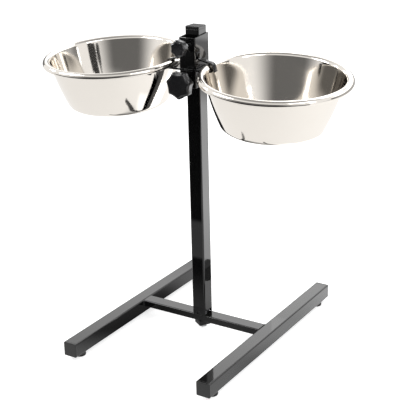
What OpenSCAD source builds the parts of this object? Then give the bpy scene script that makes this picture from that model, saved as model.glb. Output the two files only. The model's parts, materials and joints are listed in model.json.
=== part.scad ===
// Raised feeder stand for two bowls: an H-shaped tube base, one square post, and a
// height-adjustable carrier that grips the rim of each bowl between a rest plate and a hook.
// Origin on the floor under the post axis, +X along the crossbar, +Y away from the knobs, +Z up.

/* [Tubes] */
// Outside width of the square tube of the post and the feet
tube = 25; // [20:1:30]
// Wall of the square tube
tube_wall = 1.5; // [1:0.1:2.5]
// Outside corner radius of the square tube
tube_corner = 2.5; // [1.6:0.1:4]
// Length of a foot tube without its caps
foot_length = 410; // [300:1:500]
// Distance between the centre lines of the feet
foot_spacing = 260; // [180:1:360]
// Height of the flat crossbar tube
bar_height = 12.5; // [10:0.5:20]
// Length of the post tube
post_length = 498; // [400:1:700]

/* [Caps and pads] */
// Thickness of the head of a foot's end cap
cap_head = 4; // [3:0.5:8]
// Thickness of the head of the post's top cap
post_cap_head = 5; // [3:0.5:8]
// Length of a cap's plug inside the tube
cap_plug = 15; // [8:1:25]
// Wall of a cap's hollow plug
cap_plug_wall = 2; // [1.5:0.5:3]
// Chamfer round the head of a cap
cap_chamfer = 1; // [0.5:0.1:2]
// Gap between a plug and the tube around it
plug_gap = 0.15; // [0.1:0.05:0.5]
// Diameter of a rubber pad
pad_d = 20; // [12:1:22]
// Height of a rubber pad below the foot
pad_height = 7.5; // [5:0.5:12]
// Distance from the end of a foot tube to a pad's centre
pad_inset = 22; // [18:1:60]
// Diameter of a pad's push-in stem
pad_stem_d = 6; // [4:0.5:8]
// Length of a pad's stem above the foot's lower wall
pad_stem_rise = 4; // [2:0.5:8]

/* [Post joint] */
// Diameter of the bolt that holds the post
bolt_d = 8; // [6:1:10]
// Width across flats of the bolt's hexagon head
bolt_flats = 13; // [10:1:17]
// Height of the bolt's head
bolt_head = 5.3; // [4:0.1:7]
// Side of the square plate under the crossbar
plate_side = 22; // [20:1:32]
// Thickness of the square plate under the crossbar
plate_thick = 8; // [4:0.5:10]
// Angle that the square plate is turned to
plate_turn = 57.5; // [0:0.5:90]
// Height of the threaded block in the foot of the post
block_height = 8; // [6:1:14]
// Height of the open window at each side of the post's foot
window_height = 8; // [6:1:16]
// Radius of the round-topped notch in the front and the back of the post's foot
notch_r = 3.8; // [2:0.1:5]
// Height of the straight part of that notch
notch_rise = 2; // [0:0.5:4]
// Width of the threaded block in the foot of the post
block_width = 13; // [11:0.5:16]

/* [Carrier] */
// Height of the bowls' seat plane at the post axis
seat_z = 473; // [300:0.5:500]
// Forward lean of the seat plane
lean = 4.5; // [0:0.5:8]
// Wall of the carrier's and the clamp's sleeves
sleeve_wall = 2.2; // [2:0.1:4]
// Gap between a sleeve and the post
slide_gap = 0.4; // [0.3:0.1:1]
// Reach of a sleeve in front of the post
sleeve_reach = 15.5; // [14:0.5:24]
// Outside corner radius of a sleeve
sleeve_corner = 3; // [2.6:0.1:5]
// Height of the carrier's lower sleeve
carrier_height = 28; // [28:1:60]
// Height of the clamp's upper sleeve
clamp_height = 49; // [46:1:80]
// Gap between the rest plate and the clamp's sleeve above it
clamp_lift = 0.6; // [0.3:0.1:2]
// Thickness of the rest plate
rest_thick = 3; // [2:0.5:5]
// Reach of the rest plate in front of the sleeves
rest_front = 2; // [0:0.5:6]
// Half length of the rest plate before its ends are hollowed
rest_half = 40; // [30:1:60]
// Gap between the hollowed end of the rest plate and a bowl's wall
rest_gap = 3; // [2:0.5:6]

/* [Hooks] */
// Width of a hook's strip
hook_width = 9; // [8:0.5:18]
// Distance of the hooks' middle in front of the post axis
hook_front = 16; // [10:1:18]
// Thickness of a hook's strip
hook_thick = 2.5; // [2:0.1:4]
// Inside radius of a hook's bends
hook_bend = 2; // [1:0.5:4]
// Downward slope of a hook's arm
hook_slope = 12; // [0:1:14]
// Gap between a hook's arm and the crown of the lip, beyond the gap all round it
hook_clear = 0.2; // [0:0.1:1]
// Height of a hook's tab on the clamp's sleeve
hook_tab = 8; // [6:1:24]
// Drop of a hook's finger inside the bowl
finger_drop = 13; // [12:0.5:24]
// Share of the wall's taper that a finger leans by
finger_follow = 0.75; // [0:0.05:1]
// Gap between a finger's tip and the wall of a bowl that hangs level
finger_gap = 0.5; // [0.3:0.1:2]

/* [Knobs] */
// Diameter of the height-lock knob
lock_knob_d = 45; // [30:1:60]
// Depth of the lobed body of the height-lock knob
lock_knob_depth = 16; // [12:1:24]
// Diameter of the height-lock screw
lock_screw_d = 8; // [6:1:10]
// Drop of the height-lock screw below the seat plane
lock_drop = 24; // [20:1:25]
// Length of the height-lock screw that shows in front of the sleeve
lock_show = 10; // [5:1:15]
// Diameter of the clamp knob
clamp_knob_d = 28; // [20:1:40]
// Depth of the lobed body of the clamp knob
clamp_knob_depth = 13; // [10:1:20]
// Diameter of the clamp screw
clamp_screw_d = 6; // [5:1:8]
// Rise of the clamp screw above the seat plane
clamp_rise = 34; // [26:1:40]
// Length of the clamp screw that shows in front of the sleeve
clamp_show = 10; // [5:1:15]
// Number of lobes on each knob
lobes = 7; // [5:1:9]
// Turn of the height-lock knob as it stands
lock_turn = 13; // [0:1:50]
// Turn of the clamp knob as it stands
clamp_turn = 0; // [0:1:50]
// Thickness of a threaded block behind a sleeve's front wall
nut_thick = 5; // [4:0.5:6]
// Thickness of a brake pad
brake_thick = 3; // [2:0.5:4]
// Gap between a brake pad and the post
brake_gap = 0.2; // [0.1:0.05:0.5]

/* [Bowls] */
// Radius of a bowl at the outer edge of its lip
rim_r = 121; // [90:0.5:140]
// Radius of the roll over the top of the lip
lip_r = 6.5; // [4:0.5:9]
// Depth of the rolled lip from its crown to its outer edge
lip_depth = 8.5; // [8:0.5:14]
// Thickness of the bowl's sheet
sheet = 1; // [0.8:0.1:1.5]
// Angle of the bowl's wall from upright
wall_taper = 19.5; // [5:0.5:30]
// Depth of a bowl from its crown to its underside
bowl_depth = 83.5; // [60:0.5:110]
// Outside radius between the wall and the base
base_fillet = 9; // [6:1:25]
// Distance of the bowls' outer edges from the post axis
grip = 27.5; // [24:0.5:40]
// Distance of the jaws' middle in front of the post axis
jaw_front = 14; // [10:1:18]
// Distance of the left bowl's centre in front of the post axis as it hangs
left_front = 18; // [10:1:20]
// Distance of the right bowl's centre in front of the post axis as it hangs
right_front = 10; // [10:1:20]
// Gap between a bowl's lip and what grips it
rim_gap = 0.3; // [0.2:0.05:0.6]
// Outward droop of the left bowl as it hangs
left_droop = 0; // [0:0.5:4]
// Outward droop of the right bowl as it hangs
right_droop = 4; // [0:0.5:4]

/* [Hidden] */

$fn = 64;
// Overlap of a cut past the face that it opens
over = 1;
// Radial clearance of a screw or a bolt in its thread
thread_fit = 0.05;
// Radial clearance of a screw, a bolt or a stem in a plain hole
hole_fit = 0.3;
// Points along a rounded stretch of a turned outline
arc_steps = 8;

paint = [0.07, 0.07, 0.075];
moulding = [0.10, 0.10, 0.105];
rubber = [0.05, 0.05, 0.05];
zinc = [0.72, 0.73, 0.74];
stainless = [0.80, 0.80, 0.79];

// Base heights and ends
foot_bottom = pad_height;
foot_top = foot_bottom + tube;
bar_bottom = foot_top - bar_height;
bar_length = foot_spacing - tube;
tube_inside = tube - 2 * tube_wall;
inner_corner = max(tube_corner - tube_wall, 0.3);
post_top = foot_top + post_length;

// Sleeves
sleeve_width = tube + 2 * (slide_gap + sleeve_wall);
sleeve_front = tube / 2 + sleeve_reach;
sleeve_rear = tube / 2 + slide_gap + sleeve_wall;
sleeve_depth = sleeve_front + sleeve_rear;
sleeve_middle = (sleeve_rear - sleeve_front) / 2;
cavity_width = sleeve_width - 2 * sleeve_wall;
cavity_depth = sleeve_depth - 2 * sleeve_wall;
cavity_corner = max(sleeve_corner - sleeve_wall, 0.3);

// Screws
lock_z = seat_z - lock_drop;
clamp_z = seat_z + clamp_rise;
brake_front = tube / 2 + brake_gap + brake_thick;
// Depth of the socket that holds a screw's end in its brake pad
brake_socket = 1.5;
hub_depth = 5;
knob_socket = 12;

// Rim grip, in the leaning frame of the seat plane
bowl_x = grip + rim_r;
crown = rim_gap + lip_depth;
finger_tip = crown - finger_drop;
// Bend centres and wall tangent of the bowl's section, with the crown of the lip at height 0
lip_centre = [rim_r - lip_r, -lip_r];
wall_start = lip_centre + lip_r * [-cos(wall_taper), sin(wall_taper)];
wall_r = wall_start[0] + sheet;
base_r_inside = base_fillet - sheet;
base_centre_z = base_fillet - bowl_depth;
base_centre = [
    (wall_start * [cos(wall_taper), -sin(wall_taper)] - base_r_inside + base_centre_z * sin(wall_taper))
        / cos(wall_taper),
    base_centre_z
];
tip_wall_r = wall_start[0] - (wall_start[1] + finger_drop) * tan(wall_taper);
finger_reach = hook_width / 2 + max(abs(left_front - hook_front), abs(right_front - hook_front));
finger_x = bowl_x - sqrt(tip_wall_r ^ 2 - finger_reach ^ 2) + finger_gap;
finger_lean = finger_follow * wall_taper;
// Bend centres of a hook, whose sloping arm just clears the crown of the lip
arm_up = [sin(hook_slope), cos(hook_slope)];
arm_level = arm_up * [grip + lip_r, crown] + rim_gap + hook_clear;
tab_bend_x = sleeve_width / 2 + hook_thick + hook_bend;
tab_bend = [
    tab_bend_x,
    (arm_level + hook_bend + hook_thick - tab_bend_x * arm_up[0]) / arm_up[1]
];
finger_out = [cos(finger_lean), sin(finger_lean)];
finger_inner = finger_out * [finger_x, finger_tip] - hook_bend;
arm_inner = arm_level - hook_bend;
finger_bend = [
    (finger_inner * arm_up[1] - arm_inner * finger_out[1]) / cos(hook_slope + finger_lean),
    (arm_inner * finger_out[0] - finger_inner * arm_up[0]) / cos(hook_slope + finger_lean)
];

// Points on an arc, from one angle to another
function arc(centre, r, from, to) =
    [for (i = [0 : arc_steps]) centre + r * [cos(from + (to - from) * i / arc_steps),
                                            sin(from + (to - from) * i / arc_steps)]];

// Section of a bowl: inner face up to the roll of the lip, then the outer face back to the axis
bowl_section = concat(
    [[0, sheet - bowl_depth]],
    arc(base_centre, base_r_inside, -90, -wall_taper),
    arc(lip_centre, lip_r, 180 - wall_taper, 90),
    arc(lip_centre, lip_r, 80, 0),
    [[rim_r, -lip_depth], [rim_r - sheet, -lip_depth]],
    arc(lip_centre, lip_r - sheet, 0, 80),
    arc(lip_centre, lip_r - sheet, 90, 180 - wall_taper),
    arc(base_centre, base_fillet, -wall_taper, -90),
    [[0, -bowl_depth]]
);

// Section of a hook: the face towards the sleeve and down, then the other face back up
hook_section = concat(
    [[sleeve_width / 2, tab_bend[1] + hook_tab]],
    arc(tab_bend, hook_bend + hook_thick, 180, 270 - hook_slope),
    arc(finger_bend, hook_bend, 90 - hook_slope, finger_lean),
    [[finger_x, finger_tip], [finger_x, finger_tip] + hook_thick * finger_out],
    arc(finger_bend, hook_bend + hook_thick, finger_lean, 90 - hook_slope),
    arc(tab_bend, hook_bend, 270 - hook_slope, 180),
    [[sleeve_width / 2 + hook_thick, tab_bend[1] + hook_tab]]
);

// Rounded rectangle centred on the origin
module rounded_rect(w, d, r) {
    square([w - 2 * r, d], center = true);
    square([w, d - 2 * r], center = true);
    for (x = [-1, 1], y = [-1, 1])
        translate([x * (w / 2 - r), y * (d / 2 - r)])
            circle(r = r);
}

// Rounded rectangular tube along Z
module tube_length(w, d, r, wall, inside_r, length) {
    linear_extrude(length)
        difference() {
            rounded_rect(w, d, r);
            rounded_rect(w - 2 * wall, d - 2 * wall, inside_r);
        }
}

// Head of a cap, standing on the plane z = 0, with a chamfer round its top
module cap_head_block(head) {
    edge = tube / 2;
    bevel = [[-edge, 0], [edge, 0], [edge, head - cap_chamfer], [edge - cap_chamfer, head],
             [cap_chamfer - edge, head], [-edge, head - cap_chamfer]];
    intersection() {
        linear_extrude(head) rounded_rect(tube, tube, tube_corner);
        translate([0, edge + over, 0]) rotate([90, 0, 0]) linear_extrude(tube + 2 * over) polygon(bevel);
        rotate([0, 0, 90])
            translate([0, edge + over, 0]) rotate([90, 0, 0]) linear_extrude(tube + 2 * over) polygon(bevel);
    }
}

// Push-in cap: a bevelled head above the tube's end and a hollow plug inside it
module tube_cap(head) {
    plug = tube_inside - 2 * plug_gap;
    plug_corner = max(inner_corner - plug_gap, 0.2);
    cap_head_block(head);
    translate([0, 0, -cap_plug])
        difference() {
            linear_extrude(cap_plug) rounded_rect(plug, plug, plug_corner);
            translate([0, 0, -over])
                linear_extrude(cap_plug + over - cap_plug_wall)
                    square(plug - 2 * cap_plug_wall, center = true);
        }
}

// Foot tube along Y, with the holes for its pads' stems
module foot_tube(side) {
    color(paint)
        difference() {
            translate([side * foot_spacing / 2, foot_length / 2, foot_bottom + tube / 2])
                rotate([90, 0, 0])
                    tube_length(tube, tube, tube_corner, tube_wall, inner_corner, foot_length);
            for (end = [-1, 1])
                translate([side * foot_spacing / 2, end * (foot_length / 2 - pad_inset), foot_bottom - over])
                    cylinder(d = pad_stem_d + 2 * hole_fit, h = tube_wall + 2 * over);
        }
}

// Cap at one end of a foot
module foot_cap(side, end) {
    color(moulding)
        translate([side * foot_spacing / 2, end * foot_length / 2, foot_bottom + tube / 2])
            rotate([-end * 90, 0, 0])
                tube_cap(cap_head);
}

// Rubber pad under one end of a foot, with its stem through the foot's lower wall
module foot_pad(side, end) {
    edge = 1;
    barb = 1;
    stem_top = tube_wall + pad_stem_rise;
    color(rubber)
        translate([side * foot_spacing / 2, end * (foot_length / 2 - pad_inset), foot_bottom])
            rotate_extrude()
                polygon(concat(
                    [[0, -pad_height]],
                    arc([pad_d / 2 - edge, edge - pad_height], edge, -90, 0),
                    [[pad_d / 2, 0], [pad_stem_d / 2, 0], [pad_stem_d / 2, tube_wall + hole_fit],
                     [pad_stem_d / 2 + barb, tube_wall + hole_fit + barb],
                     [pad_stem_d / 2 - barb, stem_top + barb], [0, stem_top + barb]]
                ));
}

module left_foot_tube() foot_tube(-1);
module right_foot_tube() foot_tube(1);
module left_front_cap() foot_cap(-1, -1);
module left_rear_cap() foot_cap(-1, 1);
module right_front_cap() foot_cap(1, -1);
module right_rear_cap() foot_cap(1, 1);
module left_front_pad() foot_pad(-1, -1);
module left_rear_pad() foot_pad(-1, 1);
module right_front_pad() foot_pad(1, -1);
module right_rear_pad() foot_pad(1, 1);

// Flat tube between the feet, bored for the post's bolt
module crossbar() {
    color(paint)
        difference() {
            translate([-bar_length / 2, 0, bar_bottom + bar_height / 2])
                rotate([90, 0, 90])
                    tube_length(tube, bar_height, tube_corner, tube_wall, inner_corner, bar_length);
            translate([0, 0, bar_bottom - over])
                cylinder(d = bolt_d + 2 * hole_fit, h = bar_height + 2 * over);
        }
}

// Upright tube; its foot has a window at each side and a round-topped notch in front and behind
module post_tube() {
    color(paint)
        difference() {
            translate([0, 0, foot_top])
                tube_length(tube, tube, tube_corner, tube_wall, inner_corner, post_length);
            translate([-tube, -tube_inside / 2 + inner_corner, foot_top - over])
                cube([2 * tube, tube_inside - 2 * inner_corner, window_height + over]);
            translate([0, tube, foot_top + notch_rise])
                rotate([90, 0, 0])
                    cylinder(r = notch_r, h = 2 * tube);
            translate([-notch_r, -tube, foot_top - over])
                cube([2 * notch_r, 2 * tube, notch_rise + over]);
        }
}

module post_cap() {
    color(moulding)
        translate([0, 0, post_top])
            tube_cap(post_cap_head);
}

// Threaded block welded across the foot of the post, between its front and back walls
module post_block() {
    color(zinc)
        translate([0, 0, foot_top])
            difference() {
                linear_extrude(block_height) square([block_width, tube_inside], center = true);
                translate([0, 0, -over])
                    cylinder(r = bolt_d / 2 + thread_fit, h = block_height + 2 * over);
            }
}

// Thick square plate under the crossbar
module bolt_plate() {
    color(paint)
        translate([0, 0, bar_bottom - plate_thick])
            rotate(plate_turn)
                difference() {
                    linear_extrude(plate_thick) rounded_rect(plate_side, plate_side, tube_corner);
                    translate([0, 0, -over])
                        cylinder(d = bolt_d + 2 * hole_fit, h = plate_thick + 2 * over);
                }
}

// Hexagon bolt up through the plate and the crossbar into the threaded block
module post_bolt() {
    color(zinc)
        translate([0, 0, bar_bottom - plate_thick]) {
            translate([0, 0, -bolt_head])
                cylinder(d = bolt_flats / cos(30), h = bolt_head, $fn = 6);
            cylinder(d = bolt_d, h = plate_thick + bar_height + block_height);
        }
}

// Moves its children into the leaning frame of the seat plane
module on_seat() {
    translate([0, 0, seat_z])
        rotate([lean, 0, 0])
            children();
}

// Upright sleeve round the post, cut parallel to the seat plane at its two ends,
// with a plain hole in its front wall for a screw
module slide_sleeve(low, high, screw_d, screw_z) {
    long = high - low + sleeve_depth;
    color(paint)
        difference() {
            intersection() {
                translate([0, sleeve_middle, seat_z + low - sleeve_depth / 2])
                    linear_extrude(long) rounded_rect(sleeve_width, sleeve_depth, sleeve_corner);
                on_seat()
                    translate([-sleeve_width, -2 * sleeve_depth, low])
                        cube([2 * sleeve_width, 4 * sleeve_depth, high - low]);
            }
            translate([0, sleeve_middle, seat_z + low - sleeve_depth])
                linear_extrude(long + sleeve_depth)
                    rounded_rect(cavity_width, cavity_depth, cavity_corner);
            translate([0, -sleeve_front + sleeve_wall + over, screw_z])
                rotate([90, 0, 0])
                    cylinder(d = screw_d + 2 * hole_fit, h = sleeve_wall + 2 * over);
        }
}

module carrier_sleeve() slide_sleeve(-rest_thick - carrier_height, -rest_thick, lock_screw_d, lock_z);
module clamp_sleeve() slide_sleeve(clamp_lift, clamp_height, clamp_screw_d, clamp_z);

// Plate that the lips rest on: its wings lie evenly before and behind the jaws' middle,
// and their ends are hollowed for the bowls' walls
module rest_plate() {
    front = sleeve_front + rest_front;
    hole = tube + 2 * slide_gap;
    lean_room = rest_thick * sin(lean);
    color(paint)
        on_seat()
            translate([0, 0, -rest_thick])
                linear_extrude(rest_thick)
                    difference() {
                        union() {
                            translate([-rest_half, -front])
                                square([2 * rest_half, 2 * (front - jaw_front)]);
                            translate([-sleeve_width / 2, -front])
                                square([sleeve_width, front + sleeve_rear]);
                        }
                        square([hole, hole + 2 * lean_room], center = true);
                        for (side = [-1, 1])
                            translate([side * bowl_x, -jaw_front])
                                circle(r = wall_r + rest_gap, $fn = 180);
                    }
}

// Bent strip: a tab on the clamp's sleeve, an arm over the lip and a finger down inside the bowl
module rim_hook(side) {
    color(paint)
        on_seat()
            translate([0, hook_width / 2 - hook_front, 0])
                rotate([90, 0, 0])
                    linear_extrude(hook_width)
                        mirror([side < 0 ? 1 : 0, 0])
                            polygon(hook_section);
}

module left_hook() rim_hook(-1);
module right_hook() rim_hook(1);

// Threaded block behind a sleeve's front wall
module screw_nut(screw_d, screw_z) {
    width = tube - 6;
    height = 1.8 * screw_d;
    color(zinc)
        translate([0, sleeve_wall - sleeve_front, screw_z])
            rotate([-90, 0, 0])
                difference() {
                    linear_extrude(nut_thick) rounded_rect(width, height, 1);
                    translate([0, 0, -over])
                        cylinder(r = screw_d / 2 + thread_fit, h = nut_thick + 2 * over);
                }
}

// Screw from inside the knob, through the sleeve's front wall and its block, to the brake pad
module clamp_stud(screw_d, screw_z, show) {
    outer = sleeve_front + show + knob_socket;
    color(zinc)
        translate([0, brake_socket - brake_front, screw_z])
            rotate([90, 0, 0])
                cylinder(d = screw_d, h = outer - brake_front + brake_socket);
}

// Pad that a screw presses on the post's front face
module brake_pad(screw_d, screw_z) {
    width = tube - 4;
    height = 2 * screw_d - 1;
    color(moulding)
        translate([0, -brake_front, screw_z])
            rotate([-90, 0, 0])
                difference() {
                    linear_extrude(brake_thick) rounded_rect(width, height, 1.5);
                    translate([0, 0, -over])
                        cylinder(r = screw_d / 2 + thread_fit, h = brake_socket + over);
                }
}

// Lobed knob: a disc with wide shallow scallops and a rounded front edge, on a round hub
module lobed_knob(d, depth, screw_d, screw_z, show, turn) {
    hub_d = d * 0.5;
    scallop_r = d * 0.8;
    scallop_bite = d * 0.058;
    front_round = depth * 0.3;
    back_round = depth * 0.2;
    color(moulding)
        translate([0, -sleeve_front - show, screw_z])
            rotate([90, 0, 0])
                difference() {
                    union() {
                        cylinder(d = hub_d, h = hub_depth + over);
                        translate([0, 0, hub_depth])
                            difference() {
                                rotate_extrude()
                                    polygon(concat(
                                        [[0, 0]],
                                        arc([d / 2 - back_round, back_round], back_round, -90, 0),
                                        arc([d / 2 - front_round, depth - front_round], front_round, 0, 90),
                                        [[0, depth]]
                                    ));
                                for (i = [0 : lobes - 1])
                                    rotate(turn + 360 / lobes * (i + 0.5))
                                        translate([d / 2 + scallop_r - scallop_bite, 0, -over])
                                            cylinder(r = scallop_r, h = depth + 2 * over);
                            }
                    }
                    translate([0, 0, -over])
                        cylinder(r = screw_d / 2 + thread_fit, h = knob_socket + over + hole_fit);
                }
}

module lock_nut() screw_nut(lock_screw_d, lock_z);
module lock_screw() clamp_stud(lock_screw_d, lock_z, lock_show);
module lock_brake() brake_pad(lock_screw_d, lock_z);
module lock_knob()
    lobed_knob(lock_knob_d, lock_knob_depth, lock_screw_d, lock_z, lock_show, lock_turn);
module clamp_nut() screw_nut(clamp_screw_d, clamp_z);
module clamp_screw() clamp_stud(clamp_screw_d, clamp_z, clamp_show);
module clamp_brake() brake_pad(clamp_screw_d, clamp_z);
module clamp_knob()
    lobed_knob(clamp_knob_d, clamp_knob_depth, clamp_screw_d, clamp_z, clamp_show, clamp_turn);

// Spun bowl with a rolled rim, hanging from its lip with the offset and the droop given
module bowl(side, front, droop) {
    color(stainless)
        on_seat()
            translate([side * grip, -front, rim_gap])
                rotate([0, side * droop, 0])
                    translate([side * rim_r, 0, lip_depth])
                        rotate_extrude($fn = 180)
                            polygon(bowl_section);
}

module left_bowl() bowl(-1, left_front, left_droop);
module right_bowl() bowl(1, right_front, right_droop);

left_foot_tube();
right_foot_tube();
crossbar();
post_tube();
post_cap();
left_front_cap();
left_rear_cap();
right_front_cap();
right_rear_cap();
left_front_pad();
left_rear_pad();
right_front_pad();
right_rear_pad();
post_block();
post_bolt();
bolt_plate();
carrier_sleeve();
rest_plate();
lock_nut();
lock_screw();
lock_brake();
lock_knob();
clamp_sleeve();
left_hook();
right_hook();
clamp_nut();
clamp_screw();
clamp_brake();
clamp_knob();
left_bowl();
right_bowl();
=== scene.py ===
"""Looks of the raised feeder stand: spun steel bowls, gloss black tube, moulded knobs and a white studio."""
import json
import math

import bmesh
import bpy
import numpy as np
from mathutils import Matrix

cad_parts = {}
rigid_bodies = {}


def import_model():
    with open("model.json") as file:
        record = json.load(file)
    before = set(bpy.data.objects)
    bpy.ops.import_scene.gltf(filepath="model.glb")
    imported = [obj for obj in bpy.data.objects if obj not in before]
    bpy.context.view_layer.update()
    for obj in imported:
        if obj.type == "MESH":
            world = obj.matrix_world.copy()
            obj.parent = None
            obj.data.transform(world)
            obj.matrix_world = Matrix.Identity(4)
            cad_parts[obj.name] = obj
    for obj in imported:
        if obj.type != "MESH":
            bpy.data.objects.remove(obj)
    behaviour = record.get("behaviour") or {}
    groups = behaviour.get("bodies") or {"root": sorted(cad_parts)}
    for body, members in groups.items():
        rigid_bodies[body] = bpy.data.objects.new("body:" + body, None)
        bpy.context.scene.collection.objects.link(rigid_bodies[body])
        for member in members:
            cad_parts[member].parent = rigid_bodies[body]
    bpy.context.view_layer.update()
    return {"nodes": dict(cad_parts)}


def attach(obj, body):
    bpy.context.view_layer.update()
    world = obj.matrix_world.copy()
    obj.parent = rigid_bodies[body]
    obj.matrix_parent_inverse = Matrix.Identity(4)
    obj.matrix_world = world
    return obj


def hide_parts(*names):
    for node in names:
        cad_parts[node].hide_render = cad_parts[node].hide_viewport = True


for leftover in list(bpy.data.objects):
    bpy.data.objects.remove(leftover)
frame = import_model()

MM = 0.001
MERGE = 1e-7
SAME_POINT = 1e-6

# Sizes of the frame and the clamp, in millimetres and degrees
SEAT_Z = 473.0
LEAN = 4.5
SLEEVE_FRONT = 28.0
SLEEVE_HALF = 15.1
REST_THICK = 3.0
BAR_END = 117.5
BAR_HALF = 12.5

# Bowls: the hooks fit the plain wall's taper, and the spun wall is a little steeper and fuller
RIM_R = 121.0
RIM_GAP = 0.3
LIP_R = 6.5
LIP_DEPTH = 8.5
LIP_BREAK = 0.3
SHEET = 1.0
WALL_TAPER = 19.5
SPUN_TAPER = 17.3
SPUN_DEPTH = 84.8
SPUN_FILLET = 13.0
SWELL = 1.8
GRIP = 27.5
LEFT_FRONT = 18.0
LEFT_DROOP = 0.0
RIGHT_FRONT = 10.0
RIGHT_DROOP = 4.0

# Hooks over the lips
HOOK_FRONT = 16.0
HOOK_HALF = 4.5
HOOK_THICK = 2.5
HOOK_EDGE = 0.5
HOOK_BEND = 2.0
HOOK_SLOPE = 12.0
HOOK_CLEAR = 0.2
TAB_HEIGHT = 8.0
FINGER_FALL = 13.0
FINGER_GAP = 0.5
FINGER_LEAN = 0.75 * WALL_TAPER

# Screws and their knobs
LOCK_Z = 449.0
LOCK_D = 8.0
LOCK_PITCH = 1.25
LOCK_KNOB_D = 45.0
LOCK_KNOB_DEPTH = 16.0
LOCK_KNOB_TURN = 13.0
CLAMP_Z = 507.0
CLAMP_D = 6.0
CLAMP_PITCH = 1.0
CLAMP_KNOB_D = 28.0
CLAMP_KNOB_DEPTH = 13.0
CLAMP_KNOB_TURN = 0.0
SCREW_INNER = 14.2
SCREW_OUTER = 50.0
BORE_DEPTH = 12.3
BORE_GAP = 0.05
KNOB_SHOW = 10.0
HUB_DEPTH = 5.0
HUB_BREAK = 0.6
DISH = 0.35
LOBES = 7

# Welds: the leg of each bead and where it starts and ends
BAR_WELD_LEG = 2.2
BAR_WELD_Z = (20.5, 32.0)
TAB_WELD_LEG = 1.5
TAB_WELD_Z = (18.0, 24.5)
REST_WELD_LEG = 2.0
REST_WELD_Y = (-27.0, 1.0)

# Steps of the grids
BOWL_AROUND = 192
FLOOR_STEPS = 14
BEND_STEPS = 12
CROWN_STEPS = 28
UNDER_STEPS = 20
WALL_STEPS = 24
KNOB_AROUND = 252
KNOB_BACK_STEPS = 10
KNOB_FRONT_STEPS = 16
KNOB_FACE_STEPS = 7
SCREW_AROUND = 48
STEPS_PER_TURN = 10
HOOK_CORNER_STEPS = 6
HOOK_LINE_STEPS = 6
WELD_ARC_STEPS = 7
WELD_STEPS_PER_MM = 4
WELD_STEPS_LEAST = 24


def turn_x(degrees):
    """Matrix of a turn about X."""
    a = math.radians(degrees)
    return np.array([[1, 0, 0], [0, math.cos(a), -math.sin(a)], [0, math.sin(a), math.cos(a)]])


def turn_y(degrees):
    """Matrix of a turn about Y."""
    a = math.radians(degrees)
    return np.array([[math.cos(a), 0, math.sin(a)], [0, 1, 0], [-math.sin(a), 0, math.cos(a)]])


def on_seat(points):
    """Points of the leaning seat plane's frame: turned forward about X, then lifted to the seat's height."""
    return points @ turn_x(LEAN).T + np.array([0, 0, SEAT_Z])


def arc(centre, radius, start, end, steps):
    """Points on an arc: the centre plus the radius times the cosine and the sine of evenly spaced angles."""
    a = np.radians(np.linspace(start, end, steps))
    return np.asarray(centre) + radius * np.stack([np.cos(a), np.sin(a)], -1)


def line_between(start, end, share):
    """Points on a straight line: the start and the end weighed by each share."""
    return start * (1 - share) + end * share


def thin_out(path):
    """An open path without the points that repeat the one before them."""
    step = np.linalg.norm(path - np.roll(path, 1, axis=0), axis=1)
    keep = step > SAME_POINT
    keep[0] = True
    return path[keep]


def grid_piece(name, points, sharp):
    """A mesh object from a grid of points in millimetres, one quad per cell, whose columns close on
    themselves and whose poles are merged. Edges past the sharp angle stay crisp. Its UV map runs from 0 to 1
    along the columns, and along the rows it is the length in metres."""
    rows, columns = points.shape[:2]
    r, c = (x.ravel() for x in np.meshgrid(np.arange(rows - 1), np.arange(columns), indexing="ij"))
    corner_r = np.stack([r, r, r + 1, r + 1], -1)
    corner_c = np.stack([c, c + 1, c + 1, c], -1)
    faces = corner_r * columns + corner_c % columns
    flat = points.reshape(-1, 3) * MM
    first, second, third, fourth = (flat[faces[:, k]] for k in range(4))
    volume = np.sum(first * (np.cross(second, third) + np.cross(third, fourth)))
    if volume < 0:
        faces, corner_r, corner_c = faces[:, ::-1], corner_r[:, ::-1], corner_c[:, ::-1]
    mesh = bpy.data.meshes.new(name)
    mesh.vertices.add(len(flat))
    mesh.vertices.foreach_set("co", flat.ravel())
    mesh.loops.add(faces.size)
    mesh.loops.foreach_set("vertex_index", np.ascontiguousarray(faces).ravel().astype(np.int32))
    mesh.polygons.add(len(faces))
    mesh.polygons.foreach_set("loop_start", np.arange(0, faces.size, 4, dtype=np.int32))
    mesh.update(calc_edges=True)
    lengths = np.linalg.norm(np.diff(points, axis=0), axis=2).mean(1) * MM
    along = np.concatenate([[0.0], np.cumsum(lengths)])
    uv = np.stack([corner_c / columns, along[corner_r]], -1)
    layer = mesh.uv_layers.new(name="surface")
    layer.data.foreach_set("uv", np.ascontiguousarray(uv).ravel())
    work = bmesh.new()
    work.from_mesh(mesh)
    bmesh.ops.remove_doubles(work, verts=work.verts, dist=MERGE)
    work.to_mesh(mesh)
    work.free()
    mesh.shade_smooth()
    mesh.set_sharp_from_angle(angle=math.radians(sharp))
    piece = bpy.data.objects.new(name, mesh)
    bpy.context.scene.collection.objects.link(piece)
    return piece


def settle(piece, body, slot, material, *nodes):
    """Gives a new piece its body and its finish, and hides the CAD nodes that it stands for. The slot is not
    used.
    """
    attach(piece, body)
    piece.data.materials.append(material)
    if nodes:
        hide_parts(*nodes)


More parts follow.
